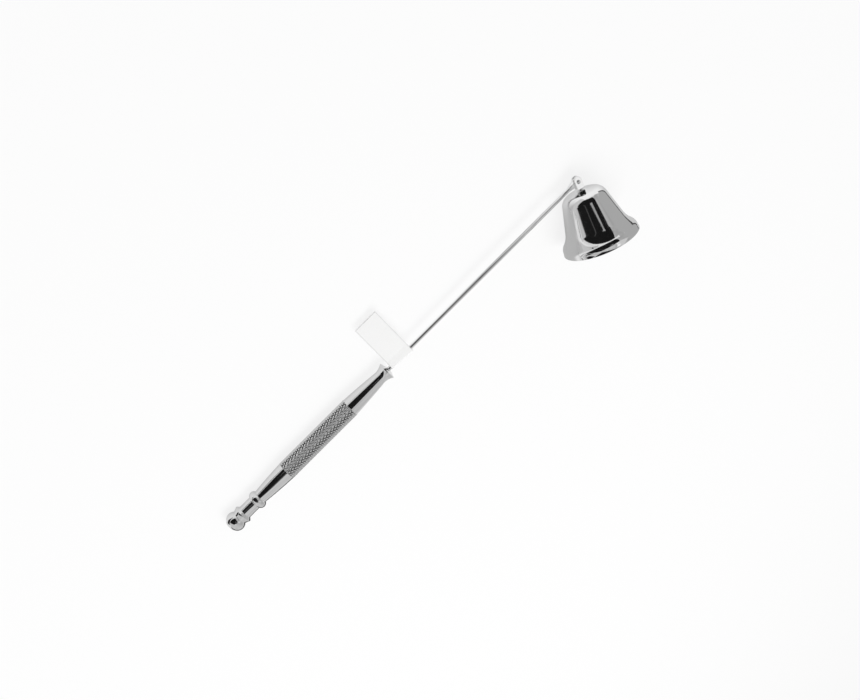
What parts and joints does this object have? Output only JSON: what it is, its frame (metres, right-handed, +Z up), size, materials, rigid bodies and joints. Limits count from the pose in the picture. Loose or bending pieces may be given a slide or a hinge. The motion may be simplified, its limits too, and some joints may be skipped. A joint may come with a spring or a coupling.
{
  "type": "candle snuffer",
  "caption": "Candle snuffer: a small flared bell on a riveted hinge at the end of a thin rod, with a turned metal handle that ends in a ball.",
  "frame": {"origin": "on the table, under the middle of the whole part as it lies", "axes": "+Z up; +X along the rod from the handle to the hinge, seen from above; the bell's mouth faces -Y"},
  "size_m": [0.2294, 0.064, 0.0349],
  "materials": {
    "chrome": "polished",
    "paper": "matte"
  },
  "bodies": {
    "handle": {"handle": "chrome", "rod": "chrome", "label": "paper"},
    "bell": {"bell": "chrome", "fork": "chrome", "crown_nut": "chrome", "hinge_pin": "chrome"}
  },
  "joints": [
    {"name": "bell_hinge", "type": "hinge", "parent": "handle", "child": "bell", "pos_m": [0.10577, 0.0036, 0.00684], "axis": [-0.0096, 0.3735, 0.9276], "range_deg": [-11, 224.6]}
  ]
}
